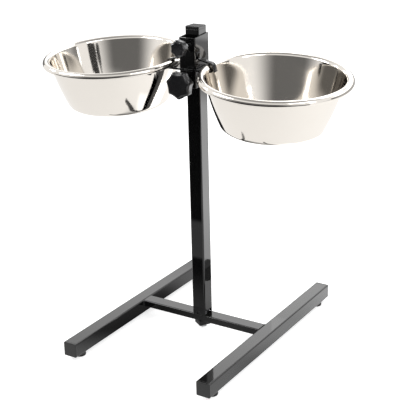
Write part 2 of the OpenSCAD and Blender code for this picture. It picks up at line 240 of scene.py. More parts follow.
# Shapes
def bowl_section():
    """Section of a bowl from the axis over the inner face, the roll of the lip and the outer face back to the
    axis. The wall is a line from one roll to the other that swells outward by half a sine wave, as spinning
    leaves it, and both rolls start at the slopes where the swell ends."""
    taper = math.radians(SPUN_TAPER)
    aslant = np.array([math.cos(taper), -math.sin(taper)])
    lip = np.array([RIM_R - LIP_R, -LIP_R])
    inside = SPUN_FILLET - SHEET
    base_z = SPUN_FILLET - SPUN_DEPTH
    base_x = (lip @ aslant - LIP_R - inside + base_z * math.sin(taper)) / math.cos(taper)
    base = np.array([base_x, base_z])
    swell_turn = math.degrees(math.pi * SWELL / np.linalg.norm(lip - base))
    lip_angle = 180 - SPUN_TAPER + swell_turn
    base_angle = -SPUN_TAPER - swell_turn
    floor_r = np.linspace(0, base_x, FLOOR_STEPS)[:, None]
    inner_floor = np.hstack([floor_r, np.full_like(floor_r, SHEET - SPUN_DEPTH)])
    outer_floor = np.hstack([floor_r[::-1], np.full_like(floor_r, -SPUN_DEPTH)])
    inner_base = arc(base, inside, -90, base_angle, BEND_STEPS)
    outer_base = arc(base, SPUN_FILLET, base_angle, -90, BEND_STEPS)
    crown = arc(lip, LIP_R, lip_angle, 0, CROWN_STEPS)
    under = arc(lip, LIP_R - SHEET, 0, lip_angle, UNDER_STEPS)
    share = np.linspace(0, 1, WALL_STEPS)[:, None]
    fuller = SWELL * np.sin(np.pi * share) * aslant
    inner_wall = line_between(inner_base[-1], crown[0], share) + fuller
    outer_wall = line_between(under[-1], outer_base[0], share) + fuller
    edge = np.array([[RIM_R, -LIP_DEPTH + LIP_BREAK], [RIM_R - LIP_BREAK, -LIP_DEPTH],
                     [RIM_R - SHEET + LIP_BREAK, -LIP_DEPTH], [RIM_R - SHEET, -LIP_DEPTH + LIP_BREAK]])
    stretches = [inner_floor, inner_base, inner_wall, crown, edge, under, outer_wall, outer_base, outer_floor]
    return thin_out(np.vstack(stretches))


def spun_bowl(name, side, front, droop):
    """A bowl: its section turned about its axis, then hung on the seat with its own offset and droop."""
    section = bowl_section()
    angle = np.linspace(0, 2 * np.pi, BOWL_AROUND, endpoint=False)
    ring = np.stack([np.cos(angle), np.sin(angle), np.zeros_like(angle)], -1)
    points = section[:, None, :1] * ring[None] + section[:, None, 1:] * np.array([0, 0, 1.0])
    points = points + np.array([side * RIM_R, 0, LIP_DEPTH])
    points = points @ turn_y(side * droop).T + np.array([side * GRIP, -front, RIM_GAP])
    return grid_piece(name, on_seat(points), sharp=50.0)


def knob_radius(angle, d, turned):
    """Outline of a knob at each angle: a round disc bitten by wide shallow scallops at even steps, the two
    joined by a soft minimum, so that the corners of the lobes are rounded."""
    scallop = 0.8 * d
    centre = 1.242 * d
    sharpness = 140.0 / d
    step = 2 * np.pi / LOBES
    away = (angle - math.radians(turned)) % step - step / 2
    bitten = centre * np.cos(away) - np.sqrt(scallop ** 2 - (centre * np.sin(away)) ** 2)
    return -np.log(np.exp(-sharpness * bitten) + np.exp(-sharpness * d / 2)) / sharpness


def moulded_knob(name, d, depth, turned, screw_d, screw_z):
    """A lobed knob: rings of the lobed outline drawn in along a quarter round at the back and a wider one at
    the front, closed by a shallow dish in front and by the hub and the screw's bore behind."""
    turn = np.linspace(0, 2 * np.pi, KNOB_AROUND, endpoint=False)
    outline = knob_radius(turn, d, turned)
    back = 0.2 * depth
    front = 0.3 * depth
    top = HUB_DEPTH + depth
    hub = np.full_like(turn, 0.25 * d)
    bore = np.full_like(turn, screw_d / 2 + BORE_GAP)
    rows = [(bore * 0, BORE_DEPTH), (bore, BORE_DEPTH), (bore, 0.0), (hub - HUB_BREAK, 0.0), (hub, HUB_BREAK),
            (hub, HUB_DEPTH)]
    rows += [(outline - back * (1 - math.sin(q)), HUB_DEPTH + back * (1 - math.cos(q)))
             for q in np.linspace(0, np.pi / 2, KNOB_BACK_STEPS)]
    rows += [(outline - front * (1 - math.cos(q)), top - front * (1 - math.sin(q)))
             for q in np.linspace(0, np.pi / 2, KNOB_FRONT_STEPS)]
    rows += [((outline - front) * k, top - DISH * (1 - k ** 2)) for k in np.linspace(0.9, 0, KNOB_FACE_STEPS)]
    radius = np.array([r for r, _ in rows])
    height = np.array([h for _, h in rows])[:, None] * np.ones_like(radius)
    points = np.stack([radius * np.cos(turn), -SLEEVE_FRONT - KNOB_SHOW - height,
                       screw_z + radius * np.sin(turn)], -1)
    return grid_piece(name, points, sharp=42.0)


def threaded_stud(name, d, pitch, screw_z):
    """A screw along Y: at each length and angle the radius falls from the crest by a rounded thread's depth,
    which follows the length less one pitch per turn; both ends are turned down and closed."""
    length = SCREW_OUTER - SCREW_INNER
    along = np.linspace(0, length, int(length / pitch * STEPS_PER_TURN))
    angle = np.linspace(0, 2 * np.pi, SCREW_AROUND, endpoint=False)
    phase = along[:, None] / pitch - angle[None] / (2 * np.pi)
    wave = np.abs((phase % 1) * 2 - 1)
    depth = 0.55 * pitch * np.clip(1.25 * wave - 0.125, 0, 1)
    turned_down = 0.45 * pitch
    fade = np.clip(np.minimum(along, along[-1] - along) / pitch, 0, 1)[:, None]
    radius = d / 2 - depth * fade - (1 - fade) * turned_down
    radius = np.vstack([radius[:1] * 0, radius, radius[:1] * 0])
    along = np.concatenate([along[:1], along, along[-1:]])[:, None]
    points = np.stack([radius * np.cos(angle), -SCREW_INNER - along * np.ones_like(radius),
                       screw_z + radius * np.sin(angle)], -1)
    return grid_piece(name, points, sharp=30.0)


def hook_line():
    """Middle line of a hook's strip in the seat frame: tab, bend, sloping arm, bend and finger, and the
    outward normal at each point. The bends' centres come from the slope of the arm, which clears the crown of
    the lip."""
    s, c = math.sin(math.radians(HOOK_SLOPE)), math.cos(math.radians(HOOK_SLOPE))
    crown = RIM_GAP + LIP_DEPTH
    level = s * (GRIP + LIP_R) + c * crown + RIM_GAP + HOOK_CLEAR
    tab_x = SLEEVE_HALF + HOOK_THICK + HOOK_BEND
    tab = np.array([tab_x, (level + HOOK_BEND + HOOK_THICK - tab_x * s) / c])
    taper = math.radians(WALL_TAPER)
    start = np.array([RIM_R - LIP_R, -LIP_R]) + LIP_R * np.array([-math.cos(taper), math.sin(taper)])
    tip_r = start[0] - (start[1] + FINGER_FALL) * math.tan(taper)
    reach = HOOK_HALF + HOOK_FRONT - RIGHT_FRONT
    tip_x = GRIP + RIM_R - math.sqrt(tip_r ** 2 - reach ** 2) + FINGER_GAP
    tip = np.array([tip_x, crown - FINGER_FALL])
    out = np.array([math.cos(math.radians(FINGER_LEAN)), math.sin(math.radians(FINGER_LEAN))])
    finger = np.linalg.solve(np.array([[s, c], out]), np.array([level - HOOK_BEND, out @ tip - HOOK_BEND]))
    half = HOOK_THICK / 2
    first = arc(tab, HOOK_BEND + half, 180, 270 - HOOK_SLOPE, BEND_STEPS)
    second = arc(finger, HOOK_BEND + half, 90 - HOOK_SLOPE, FINGER_LEAN, BEND_STEPS)
    share = np.linspace(0, 1, HOOK_LINE_STEPS)[:, None]
    top = line_between(np.array([SLEEVE_HALF + half, tab[1] + TAB_HEIGHT]), first[0], share)
    arm = line_between(first[-1], second[0], share)
    drop = line_between(second[-1], tip + half * out, share)
    line = thin_out(np.vstack([top, first, arm, second, drop]))
    tangent = np.gradient(line, axis=0)
    tangent /= np.linalg.norm(tangent, axis=1)[:, None]
    return line, np.stack([-tangent[:, 1], tangent[:, 0]], -1)


def bent_hook(name, side):
    """A hook: a flat strip's section with rounded edges carried along the hook's middle line, drawn in at its
    ends."""
    line, normal = hook_line()
    wide = HOOK_HALF - HOOK_EDGE
    thick = HOOK_THICK / 2 - HOOK_EDGE
    corners = [(wide, thick), (-wide, thick), (-wide, -thick), (wide, -thick)]
    section = np.vstack([arc(corner, HOOK_EDGE, 90 * k, 90 * k + 90, HOOK_CORNER_STEPS)
                         for k, corner in enumerate(corners)])
    line = np.vstack([line[:1], line[:1], line, line[-1:], line[-1:]])
    normal = np.vstack([normal[:1], normal[:1], normal, normal[-1:], normal[-1:]])
    ends = np.ones(len(line))
    ends[[0, -1]] = 0.0
    ends[[1, -2]] = 0.9
    across = section[None, :, 0] * ends[:, None]
    off = section[None, :, 1] * ends[:, None]
    x = side * (line[:, None, 0] + normal[:, None, 0] * off)
    z = line[:, None, 1] + normal[:, None, 1] * off
    points = np.stack([x, across - HOOK_FRONT, z], -1)
    return grid_piece(name, on_seat(points), sharp=40.0)


def weld_bead(name, start, end, first, second, leg):
    """A fillet weld: along the line from start to end a quarter-round bead between two directions, whose leg
    swells and shrinks with the ripples of the weld and tapers at its ends. Its root sits a little inside the
    pieces."""
    start, end = np.asarray(start, float), np.asarray(end, float)
    first, second = np.asarray(first, float), np.asarray(second, float)
    ripple_pitch, wave_pitch, taper, root = 1.6, 9.0, 2.0, -0.15
    length = np.linalg.norm(end - start)
    t = np.linspace(0, 1, max(WELD_STEPS_LEAST, int(length * WELD_STEPS_PER_MM)))
    ripple = 1 + 0.09 * np.abs(np.sin(np.pi * length * t / ripple_pitch))
    ripple = ripple + 0.05 * np.sin(2 * np.pi * length * t / wave_pitch)
    size = leg * ripple * np.sqrt(np.clip(np.minimum(t, 1 - t) * length / taper, 0, 1))
    angle = np.linspace(0, np.pi / 2, WELD_ARC_STEPS)
    bulge = 1 - 0.22 * np.sin(2 * angle)
    a = np.concatenate([[1.0], np.cos(angle) * bulge, [root, root]])
    b = np.concatenate([[root], np.sin(angle) * bulge, [1.0, root]])
    centre = start[None] + (end - start)[None] * t[:, None]
    points = centre[:, None] + size[:, None, None] * (a[:, None] * first + b[:, None] * second)[None]
    return grid_piece(name, points, sharp=60.0)


# Finishes
WHITE = (1, 1, 1, 1)
BLACK = (0, 0, 0, 1)
RISE = (0.0, 1.0)
FADE = (1.0, 0.0)
BARE_ZINC = (0.52, 0.53, 0.55, 1)
BRIGHT_ZINC = (0.76, 0.77, 0.78, 1)


def node(tree, kind, **settings):
    """A shader node with its settings."""
    made = tree.nodes.new(kind)
    for key, value in settings.items():
        setattr(made, key, value)
    return made


def feed(tree, target, socket, source):
    """Puts a number, a colour or another node's output on an input socket."""
    if isinstance(source, bpy.types.NodeSocket):
        tree.links.new(source, target.inputs[socket])
    else:
        target.inputs[socket].default_value = source


def maths(tree, operation, first, second=0.5, clamp=False):
    """Output of one sum of two values."""
    made = node(tree, "ShaderNodeMath", operation=operation, use_clamp=clamp)
    feed(tree, made, 0, first)
    feed(tree, made, 1, second)
    return made.outputs[0]


def times(tree, first, second):
    """Output of the product of two values."""
    return maths(tree, "MULTIPLY", first, second)


def plus(tree, first, second):
    """Output of the sum of two values."""
    return maths(tree, "ADD", first, second)


def axes(tree, vector):
    """The three parts of a vector."""
    made = node(tree, "ShaderNodeSeparateXYZ")
    feed(tree, made, 0, vector)
    return tuple(made.outputs)


def noise(tree, place, scale, detail=2.0):
    """Output of a noise of that scale."""
    made = node(tree, "ShaderNodeTexNoise")
    feed(tree, made, "Vector", place)
    feed(tree, made, "Scale", scale)
    feed(tree, made, "Detail", detail)
    return made.outputs[0]


def cells(tree, place, scale):
    """A node of small cells of that scale."""
    made = node(tree, "ShaderNodeTexVoronoi")
    feed(tree, made, "Vector", place)
    feed(tree, made, "Scale", scale)
    return made


def blend_colours(tree, share, first, second):
    """Output of a mix of two colours."""
    made = node(tree, "ShaderNodeMix", data_type="RGBA")
    feed(tree, made, "Factor", share)
    feed(tree, made, 6, first)
    feed(tree, made, 7, second)
    return made.outputs[2]


def ranged(tree, value, span, goal, easing="SMOOTHSTEP"):
    """A goal's first end turning into its second while a value passes over a span."""
    made = node(tree, "ShaderNodeMapRange", interpolation_type=easing)
    for label, given in zip(("Value", "From Min", "From Max", "To Min", "To Max"), (value, *span, *goal)):
        feed(tree, made, label, given)
    return made.outputs[0]


def spread(tree, value, low, high):
    """A value from 0 to 1 stretched to run from low to high."""
    return ranged(tree, value, RISE, (low, high), "LINEAR")


def start_group(name, inputs, outputs):
    """An empty node group with its named sockets."""
    group = bpy.data.node_groups.new(name, "ShaderNodeTree")
    for label, kind, value in inputs:
        socket = group.interface.new_socket(label, in_out="INPUT", socket_type=kind)
        if value is not None:
            socket.default_value = value
    for label, kind in outputs:
        group.interface.new_socket(label, in_out="OUTPUT", socket_type=kind)
    return group, node(group, "NodeGroupInput"), node(group, "NodeGroupOutput")


def make_cloudy():
    """Group: broad soft clouds and fine grain from two noises, for shade that drifts over a surface."""
    group, given, result = start_group(
        "cloudy_grain",
        [("Vector", "NodeSocketVector", None), ("Cloud Scale", "NodeSocketFloat", 20.0),
         ("Grain Scale", "NodeSocketFloat", 600.0)],
        [("Cloud", "NodeSocketFloat"), ("Grain", "NodeSocketFloat")])
    for scale, out, detail in (("Cloud Scale", "Cloud", 3.0), ("Grain Scale", "Grain", 2.0)):
        feed(group, result, out, noise(group, given.outputs["Vector"], given.outputs[scale], detail))
    return group


def make_edge_rub():
    """Group: a mask that is high on edges, where a rounded normal leaves the true one, broken by a noise."""
    group, given, result = start_group(
        "edge_rub",
        [("Vector", "NodeSocketVector", None), ("Radius", "NodeSocketFloat", 0.0008),
         ("Patch Scale", "NodeSocketFloat", 60.0)],
        [("Mask", "NodeSocketFloat"), ("Normal", "NodeSocketVector")])
    bevel = node(group, "ShaderNodeBevel", samples=6)
    feed(group, bevel, "Radius", given.outputs["Radius"])
    true = node(group, "ShaderNodeNewGeometry")
    dot = node(group, "ShaderNodeVectorMath", operation="DOT_PRODUCT")
    feed(group, dot, 0, bevel.outputs[0])
    feed(group, dot, 1, true.outputs["Normal"])
    edge = ranged(group, dot.outputs["Value"], (0.98, 0.75), RISE, "LINEAR")
    clouds = noise(group, given.outputs["Vector"], given.outputs["Patch Scale"])
    patch = ranged(group, clouds, (0.42, 0.68), RISE, "LINEAR")
    feed(group, result, "Mask", maths(group, "MULTIPLY", edge, patch, True))
    feed(group, result, "Normal", bevel.outputs[0])
    return group


def make_dust():
    """Group: a thin mask of settled dust on faces that look up, in specks and drifts."""
    group, given, result = start_group(
        "settled_dust",
        [("Vector", "NodeSocketVector", None), ("Amount", "NodeSocketFloat", 0.1)],
        [("Mask", "NodeSocketFloat")])
    place = given.outputs["Vector"]
    _, _, rise = axes(group, node(group, "ShaderNodeNewGeometry").outputs["Normal"])
    upward = maths(group, "POWER", maths(group, "MAXIMUM", rise, 0.0), 3.0)
    drift = noise(group, place, 26.0)
    specks = ranged(group, cells(group, place, 420.0).outputs["Distance"], (0.22, 0.08), RISE, "LINEAR")
    lying = times(group, upward, plus(group, times(group, specks, 0.7), drift))
    feed(group, result, "Mask", maths(group, "MULTIPLY", lying, given.outputs["Amount"], True))
    return group


CLOUDY = make_cloudy()
EDGE_RUB = make_edge_rub()
DUST = make_dust()


def use_group(tree, group, **values):
    """A group placed in a material with its own values."""
    made = node(tree, "ShaderNodeGroup", node_tree=group)
    for key, value in values.items():
        feed(tree, made, key.replace("_", " "), value)
    return made


def start_material(name):
    """A material's tree, its shader and its object coordinates."""
    material = bpy.data.materials.new(name)
    material.use_nodes = True
    tree = material.node_tree
    shader = tree.nodes["Principled BSDF"]
    return material, tree, shader, node(tree, "ShaderNodeTexCoord").outputs["Object"]


def bump(tree, height, distance, strength, normal=None):
    """Output of a bump of that height."""
    made = node(tree, "ShaderNodeBump")
    feed(tree, made, "Height", height)
    feed(tree, made, "Distance", distance)
    feed(tree, made, "Strength", strength)
    if normal is not None:
        feed(tree, made, "Normal", normal)
    return made.outputs[0]


def gloss_paint(name):
    """Gloss black enamel: orange peel, faint clouds, rubbed edges and a little dust."""
    material, tree, shader, place = start_material(name)
    deep, thin = (0.002, 0.002, 0.0021, 1), (0.005, 0.005, 0.0052, 1)
    rubbed, dusty = (0.09, 0.09, 0.088, 1), (0.42, 0.41, 0.39, 1)
    cloudy = use_group(tree, CLOUDY, Vector=place, Cloud_Scale=24.0, Grain_Scale=420.0)
    rub = use_group(tree, EDGE_RUB, Vector=place, Radius=0.0009, Patch_Scale=70.0)
    dust = use_group(tree, DUST, Vector=place, Amount=0.03)
    tone = blend_colours(tree, cloudy.outputs["Cloud"], deep, thin)
    tone = blend_colours(tree, times(tree, rub.outputs["Mask"], 0.5), tone, rubbed)
    tone = blend_colours(tree, dust.outputs["Mask"], tone, dusty)
    rough = spread(tree, cloudy.outputs["Cloud"], 0.01, 0.05)
    rough = maths(tree, "ADD", rough, times(tree, dust.outputs["Mask"], 1.5), True)
    feed(tree, shader, "Base Color", tone)
    feed(tree, shader, "Roughness", rough)
    feed(tree, shader, "Normal", bump(tree, cloudy.outputs["Grain"], 0.00012, 0.12, rub.outputs["Normal"]))
    shader.inputs["IOR"].default_value = 1.52
    return material


def moulded_plastic(name, dark, light, rough, grain, depth):
    """Black moulded plastic: fine spark-eroded grain, clouds and rubbed edges."""
    material, tree, shader, place = start_material(name)
    rubbed = (0.11, 0.11, 0.11, 1)
    cloudy = use_group(tree, CLOUDY, Vector=place, Cloud_Scale=60.0, Grain_Scale=grain)
    rub = use_group(tree, EDGE_RUB, Vector=place, Radius=0.0007, Patch_Scale=150.0)
    tone = blend_colours(tree, cloudy.outputs["Cloud"], (*dark, 1), (*light, 1))
    tone = blend_colours(tree, times(tree, rub.outputs["Mask"], 0.35), tone, rubbed)
    feed(tree, shader, "Base Color", tone)
    feed(tree, shader, "Roughness", spread(tree, cloudy.outputs["Cloud"], *rough))
    feed(tree, shader, "Normal", bump(tree, cloudy.outputs["Grain"], depth, 0.35, rub.outputs["Normal"]))
    return material


def soft_rubber(name):
    """Black rubber: matt, mottled, with a chalky bloom."""
    material, tree, shader, place = start_material(name)
    black, bloom = (0.008, 0.008, 0.008, 1), (0.03, 0.03, 0.029, 1)
    cloudy = use_group(tree, CLOUDY, Vector=place, Cloud_Scale=130.0, Grain_Scale=2400.0)
    feed(tree, shader, "Base Color", blend_colours(tree, cloudy.outputs["Cloud"], black, bloom))
    feed(tree, shader, "Roughness", spread(tree, cloudy.outputs["Grain"], 0.55, 0.8))
    feed(tree, shader, "Normal", bump(tree, cloudy.outputs["Grain"], 0.0002, 0.3))
    return material


def zinc_plate(name):
    """Bright zinc plating: spangled tone and a fine scratchy gloss."""
    material, tree, shader, place = start_material(name)
    cloudy = use_group(tree, CLOUDY, Vector=place, Cloud_Scale=220.0, Grain_Scale=3000.0)
    spangle = times(tree, cells(tree, place, 700.0).outputs["Color"], 0.5)
    share = plus(tree, spangle, times(tree, cloudy.outputs["Cloud"], 0.5))
    feed(tree, shader, "Base Color", blend_colours(tree, share, BARE_ZINC, BRIGHT_ZINC))
    feed(tree, shader, "Roughness", spread(tree, share, 0.24, 0.42))
    feed(tree, shader, "Normal", bump(tree, cloudy.outputs["Grain"], 0.00008, 0.25))
    shader.inputs["Metallic"].default_value = 1.0
    return material


def overpainted_zinc(name):
    """Zinc plating that the paint has covered on the faces that look forward and back."""
    material, tree, shader, place = start_material(name)
    paint = (0.01, 0.01, 0.01, 1)
    paint_edge = (0.0104, 0.0110)
    cloudy = use_group(tree, CLOUDY, Vector=place, Cloud_Scale=220.0, Grain_Scale=900.0)
    _, y, _ = axes(tree, place)
    wavering = plus(tree, maths(tree, "ABSOLUTE", y), times(tree, cloudy.outputs["Cloud"], 0.002))
    painted = ranged(tree, wavering, paint_edge, RISE)
    bare = blend_colours(tree, cloudy.outputs["Cloud"], BARE_ZINC, BRIGHT_ZINC)
    feed(tree, shader, "Base Color", blend_colours(tree, painted, bare, paint))
    feed(tree, shader, "Metallic", maths(tree, "SUBTRACT", 1.0, painted))
    feed(tree, shader, "Roughness", spread(tree, cloudy.outputs["Cloud"], 0.2, 0.4))
    feed(tree, shader, "Normal", bump(tree, cloudy.outputs["Grain"], 0.00008, 0.25))
    return material


def polished_steel(name):
    """Polished stainless sheet: turning rings that follow the bowl's section, faint haze and a warm tint."""
    material, tree, shader, place = start_material(name)
    warm, pale, ringed = (0.82, 0.775, 0.715, 1), (0.87, 0.825, 0.765, 1), (0.72, 0.69, 0.645, 1)
    surface = node(tree, "ShaderNodeUVMap", uv_map="surface")
    around, along, _ = axes(tree, surface.outputs[0])
    stretched = node(tree, "ShaderNodeCombineXYZ")
    feed(tree, stretched, "X", times(tree, around, 0.02))
    feed(tree, stretched, "Y", along)
    rings = noise(tree, stretched.outputs[0], 1500.0)
    cloudy = use_group(tree, CLOUDY, Vector=place, Cloud_Scale=14.0, Grain_Scale=160.0)
    tone = blend_colours(tree, cloudy.outputs["Cloud"], warm, pale)
    tone = blend_colours(tree, times(tree, rings, 0.25), tone, ringed)
    haze = spread(tree, cloudy.outputs["Cloud"], -0.01, 0.02)
    feed(tree, shader, "Base Color", tone)
    feed(tree, shader, "Roughness", plus(tree, spread(tree, rings, 0.03, 0.10), haze))
    feed(tree, shader, "Normal", bump(tree, rings, 0.00001, 0.10))
    shader.inputs["Metallic"].default_value = 1.0
    return material


PAINT = gloss_paint("gloss_black_enamel")
CAP_PLASTIC = moulded_plastic("cap_plastic", (0.005, 0.005, 0.005), (0.009, 0.009, 0.009),
                              rough=(0.08, 0.15), grain=1800.0, depth=0.00001)
KNOB_PLASTIC = moulded_plastic("knob_plastic", (0.010, 0.010, 0.011), (0.016, 0.016, 0.017),
                               rough=(0.12, 0.22), grain=1500.0, depth=0.00006)
RUBBER = soft_rubber("pad_rubber")
ZINC = zinc_plate("bright_zinc")
BLOCK_ZINC = overpainted_zinc("overpainted_zinc")
STEEL = polished_steel("polished_stainless")

# Finish of the CAD nodes that stay
FINISH = {"black_paint": PAINT, "black_plastic": CAP_PLASTIC, "rubber": RUBBER, "zinc_steel": ZINC,
          "stainless": STEEL}
for cad in frame["nodes"].values():
    for place_in_list, old in enumerate(cad.data.materials):
        cad.data.materials[place_in_list] = FINISH[old.name.split(".")[0]]
frame["nodes"]["post_block"].data.materials[0] = BLOCK_ZINC

# New pieces
left_bowl = spun_bowl("left_bowl_spun", -1, LEFT_FRONT, LEFT_DROOP)
settle(left_bowl, "left_dish", "stainless", STEEL, "left_bowl")
right_bowl = spun_bowl("right_bowl_spun", 1, RIGHT_FRONT, RIGHT_DROOP)
settle(right_bowl, "right_dish", "stainless", STEEL, "right_bowl")
lock_knob = moulded_knob("lock_knob_moulded", LOCK_KNOB_D, LOCK_KNOB_DEPTH, LOCK_KNOB_TURN, LOCK_D, LOCK_Z)
settle(lock_knob, "lock_handle", "black_plastic", KNOB_PLASTIC, "lock_knob")
clamp_knob = moulded_knob("clamp_knob_moulded", CLAMP_KNOB_D, CLAMP_KNOB_DEPTH, CLAMP_KNOB_TURN, CLAMP_D,
                          CLAMP_Z)
settle(clamp_knob, "clamp_handle", "black_plastic", KNOB_PLASTIC, "clamp_knob")
lock_stud = threaded_stud("lock_stud", LOCK_D, LOCK_PITCH, LOCK_Z)
settle(lock_stud, "lock_spindle", "zinc_steel", ZINC, "lock_screw")
clamp_stud = threaded_stud("clamp_stud", CLAMP_D, CLAMP_PITCH, CLAMP_Z)
settle(clamp_stud, "clamp_spindle", "zinc_steel", ZINC, "clamp_screw")
settle(bent_hook("left_hook_bent", -1), "clamp", "black_paint", PAINT, "left_hook")
settle(bent_hook("right_hook_bent", 1), "clamp", "black_paint", PAINT, "right_hook")

# Welds between the painted pieces: crossbar to feet, hooks' tabs to the clamp, rest plate to the carrier
for side, word in ((-1, "left"), (1, "right")):
    outward = (side, 0, 0)
    inward = (-side, 0, 0)
    for face, place in ((-1, "front"), (1, "rear")):
        start, end = ((side * BAR_END, face * BAR_HALF, z) for z in BAR_WELD_Z)
        bead = weld_bead(f"{word}_{place}_bar_weld", start, end, inward, (0, face, 0), BAR_WELD_LEG)
        settle(bead, "frame", "black_paint", PAINT)
        tab_edge = face * HOOK_HALF - HOOK_FRONT
        start, end = (on_seat(np.array([side * SLEEVE_HALF, tab_edge, z])) for z in TAB_WELD_Z)
        facing = turn_x(LEAN) @ (0, face, 0)
        bead = weld_bead(f"{word}_{place}_hook_weld", start, end, outward, facing, TAB_WELD_LEG)
        settle(bead, "clamp", "black_paint", PAINT)
    start, end = (on_seat(np.array([side * SLEEVE_HALF, y, -REST_THICK])) for y in REST_WELD_Y)
    below = turn_x(LEAN) @ (0, 0, -1)
    bead = weld_bead(f"{word}_rest_weld", start, end, outward, below, REST_WELD_LEG)
    settle(bead, "carrier", "black_paint", PAINT)


def stand_at(thing, right, up, back, spot):
    """Places a camera or a lamp by its three axes and its spot."""
    pose = np.eye(4)
    pose[:3] = np.stack([right, up, back, spot], -1)
    thing.matrix_world = Matrix(pose.tolist())


# Camera at the photograph's place: angles in radians, lengths in metres, and pixels of the photograph
AZIMUTH = math.radians(32.5877)
ELEVATION = math.radians(19.9393)
ROLL = math.radians(-1.42595)
DISTANCE = 1.742568
AIM_Z = 0.23825
PICTURE = 400.0
FOCAL = 1035.508
AIM_PIXEL_X = 199.9513
AIM_PIXEL_Y = 201.1971
SENSOR = 36.0
back = np.array([math.sin(AZIMUTH) * math.cos(ELEVATION), -math.cos(AZIMUTH) * math.cos(ELEVATION),
                 math.sin(ELEVATION)])
level = np.array([math.cos(AZIMUTH), math.sin(AZIMUTH), 0.0])
rise = np.cross(back, level)
right = math.cos(ROLL) * level + math.sin(ROLL) * rise
up = math.cos(ROLL) * rise - math.sin(ROLL) * level
off_x = (AIM_PIXEL_X - PICTURE / 2) / FOCAL * DISTANCE
off_y = -(AIM_PIXEL_Y - PICTURE / 2) / FOCAL * DISTANCE
spot = np.array([0, 0, AIM_Z]) - off_x * right - off_y * up + DISTANCE * back
camera_data = bpy.data.cameras.new("camera")
camera_data.sensor_width = SENSOR
camera_data.lens = FOCAL * SENSOR / PICTURE
camera = bpy.data.objects.new("camera", camera_data)
bpy.context.scene.collection.objects.link(camera)
stand_at(camera, right, up, back, spot)
bpy.context.scene.camera = camera

# Studio, in metres and degrees
FLOOR_HALF = 4.0
CEILING_HALF = 1.9
CEILING_Z = 2.1
SCREEN_R = 1.25
SCREEN_SWING = (-147.0, -13.0)
SCREEN_Z = (0.02, 1.25)
BACKDROP_R = 3.6
BACKDROP_SWING = (20.0, 160.0)
BACKDROP_Z = (0.02, 3.0)
WALL_POINTS = 32
SIDE_CARD_X = (0.072, 0.122)
SIDE_CARD_Y = 0.12
SIDE_CARD_Z = (0.0745, 0.53)
FRONT_CARD_X = (-0.0195, 0.0085)
FRONT_CARD_Y = -0.02
FRONT_CARD_Z = (0.042, 0.42)
ROOM_LIGHT = 0.42


def stage_grid(name, rows, material):
    """A stage piece from rows of points, with a quad between each two rows and each two points."""
    wide = len(rows[0])
    faces = [(r * wide + c, r * wide + c + 1, r * wide + wide + c + 1, r * wide + wide + c)
             for r in range(len(rows) - 1) for c in range(wide - 1)]
    mesh = bpy.data.meshes.new(name)
    mesh.from_pydata([point for row in rows for point in row], [], faces)
    made = bpy.data.objects.new(name, mesh)
    made.data.materials.append(material)
    bpy.context.scene.collection.objects.link(made)
    return made


def for_mirrors_only(piece):
    """Hides a stage piece from everything but mirrors."""
    piece.visible_camera = False
    piece.visible_diffuse = False
    piece.visible_shadow = False
    piece.visible_transmission = False


def level_sheet(name, half, z, material):
    """A square level stage piece round the post's axis."""
    return stage_grid(name, [[(x, -half, z), (x, half, z)] for x in (-half, half)], material)


def upright_card(name, across, y, heights, material):
    """An upright stage card that faces forward."""
    left, right = across
    for_mirrors_only(stage_grid(name, [[(left, y, z), (right, y, z)] for z in heights], material))


def curved_wall(name, radius, swing, heights, material):
    """An upright stage wall: points at even angles on a circle round the post, at two heights."""
    low, high = heights
    ring = arc((0, 0), radius, *swing, WALL_POINTS).tolist()
    for_mirrors_only(stage_grid(name, [[(x, y, low), (x, y, high)] for x, y in ring], material))


def white_floor():
    """White floor: diffuse, so that it takes the shadow, with a glow for the camera that grows with the
    distance. Mirrors see a glowing sheet with a painted shade of the stand round the foot of the post, most
    on its left, and a painted pool of light beside the right foot. It ends well ahead of the stand and fades
    far behind it."""
    material, tree, shader, place = start_material("white_floor")
    white_paint = (0.86, 0.86, 0.86, 1)
    shader.inputs["Roughness"].default_value = 0.9
    shader.inputs["Specular IOR Level"].default_value = 0.0
    shader.inputs["Emission Color"].default_value = WHITE
    path = node(tree, "ShaderNodeLightPath")
    mirrored = path.outputs["Is Glossy Ray"]
    direct = maths(tree, "MAXIMUM", path.outputs["Is Camera Ray"], path.outputs["Is Transmission Ray"])
    x, y, _ = axes(tree, place)
    length = node(tree, "ShaderNodeVectorMath", operation="LENGTH")
    feed(tree, length, 0, place)
    reach = length.outputs["Value"]
    right_share, back_share = 0.538, 0.843
    behind = plus(tree, times(tree, x, right_share), times(tree, y, back_share))
    # painted shade: the mirrored sheet is dimmed round the foot of the post, deepest on the left, in place of
    # the stand's shadow
    depth = ranged(tree, x, (-0.12, 0.02), (0.92, 0.6))
    painted_stand_shade = ranged(tree, reach, (0.12, 0.21), (depth, 0.0))
    painted_stand_shade = times(tree, painted_stand_shade, ranged(tree, behind, (0.0, 0.16), FADE))
    sheet = maths(tree, "SUBTRACT", ranged(tree, behind, (-0.6, 0.7), (0.98, 1.16)), painted_stand_shade)
    # painted light: a brighter band of the mirrored sheet beside the right foot, for the right foot's side to
    # mirror
    strip = times(tree, ranged(tree, x, (0.142, 0.150), RISE), ranged(tree, x, (0.26, 0.34), FADE))
    lit = plus(tree, ranged(tree, y, (-0.08, 0.0), (0.0, 0.38)), ranged(tree, y, (0.10, 0.28), (0.0, 0.6)))
    sheet = times(tree, sheet, plus(tree, times(tree, strip, lit), 1.0))
    ahead = ranged(tree, y, (-0.86, -0.68), (0.02, 1.0))
    far = ranged(tree, behind, (1.5, 2.2), (1.0, 0.3))
    glint = times(tree, times(tree, sheet, times(tree, ahead, far)), mirrored)
    glow = times(tree, ranged(tree, reach, (0.40, 0.95), (0.72, 1.1)), direct)
    feed(tree, shader, "Emission Strength", plus(tree, glint, glow))
    feed(tree, shader, "Base Color", blend_colours(tree, mirrored, white_paint, BLACK))
    return material


